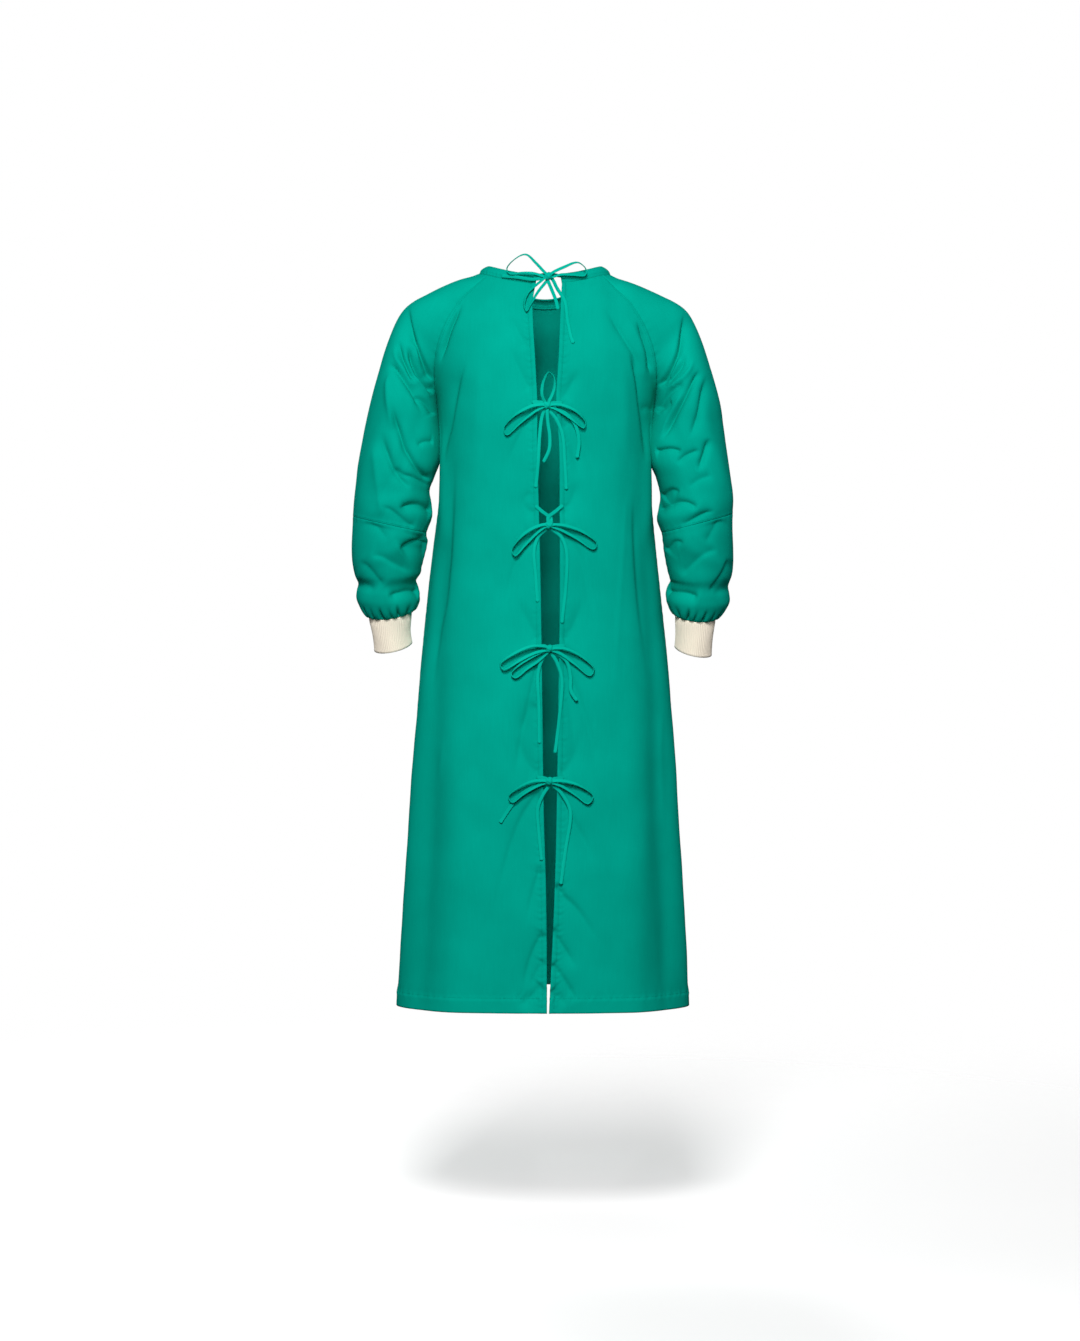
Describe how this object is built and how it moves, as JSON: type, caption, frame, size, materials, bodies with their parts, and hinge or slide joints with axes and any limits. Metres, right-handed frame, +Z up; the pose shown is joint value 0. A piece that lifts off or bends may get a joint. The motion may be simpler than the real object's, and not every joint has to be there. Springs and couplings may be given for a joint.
{
  "type": "surgical gown",
  "caption": "Long-sleeved surgical gown as worn, open down the back and tied with bows, with raglan sleeves, knit cuffs and a round neck band.",
  "frame": {"origin": "middle of the neck opening, level with the top of the neck band at its sides", "axes": "+Z up along the wearer, +Y out of the open back, +X to the wearer's left"},
  "size_m": [0.6152, 0.3627, 1.1971],
  "materials": {
    "gown_cloth": "plain-woven poly-cotton with a faint sheen",
    "tie_tape": "folded and stitched tape of the gown's cloth",
    "rib_knit": "fine cream rib knit"
  },
  "bodies": {
    "root": {"back_left": "gown_cloth", "sleeve_left": "gown_cloth", "forearm_left": "gown_cloth", "cuff_left": "rib_knit", "back_right": "gown_cloth", "sleeve_right": "gown_cloth", "forearm_right": "gown_cloth", "cuff_right": "rib_knit", "front": "gown_cloth", "neck_band": "gown_cloth", "bow_1_knot": "tie_tape", "bow_1_strap_left": "tie_tape", "bow_1_strap_right": "tie_tape", "bow_1_loop_left": "tie_tape", "bow_1_loop_right": "tie_tape", "bow_1_loop_low": "tie_tape", "bow_1_tail_long": "tie_tape", "bow_1_tail_short": "tie_tape", "bow_1_tail_side": "tie_tape", "bow_2_knot": "tie_tape", "bow_2_strap_left": "tie_tape", "bow_2_strap_right": "tie_tape", "bow_2_loop_left": "tie_tape", "bow_2_loop_right": "tie_tape", "bow_2_loop_up": "tie_tape", "bow_2_tail_left": "tie_tape", "bow_2_tail_centre": "tie_tape", "bow_2_tail_right": "tie_tape", "bow_2_tail_side": "tie_tape", "bow_3_knot": "tie_tape", "bow_3_strap_left": "tie_tape", "bow_3_strap_right": "tie_tape", "bow_3_loop_left": "tie_tape", "bow_3_loop_right": "tie_tape", "bow_3_tail_left": "tie_tape", "bow_3_tail_right": "tie_tape", "bow_4_knot": "tie_tape", "bow_4_strap_left": "tie_tape", "bow_4_strap_right": "tie_tape", "bow_4_loop_left": "tie_tape", "bow_4_loop_low": "tie_tape", "bow_4_loop_right": "tie_tape", "bow_4_tail_left": "tie_tape", "bow_4_tail_right": "tie_tape", "bow_4_tail_side": "tie_tape", "bow_5_knot": "tie_tape", "bow_5_strap_left": "tie_tape", "bow_5_strap_right": "tie_tape", "bow_5_loop_left": "tie_tape", "bow_5_loop_right": "tie_tape", "bow_5_tail_side": "tie_tape", "bow_5_tail_left": "tie_tape", "bow_5_tail_right": "tie_tape"}
  },
  "joints": []
}
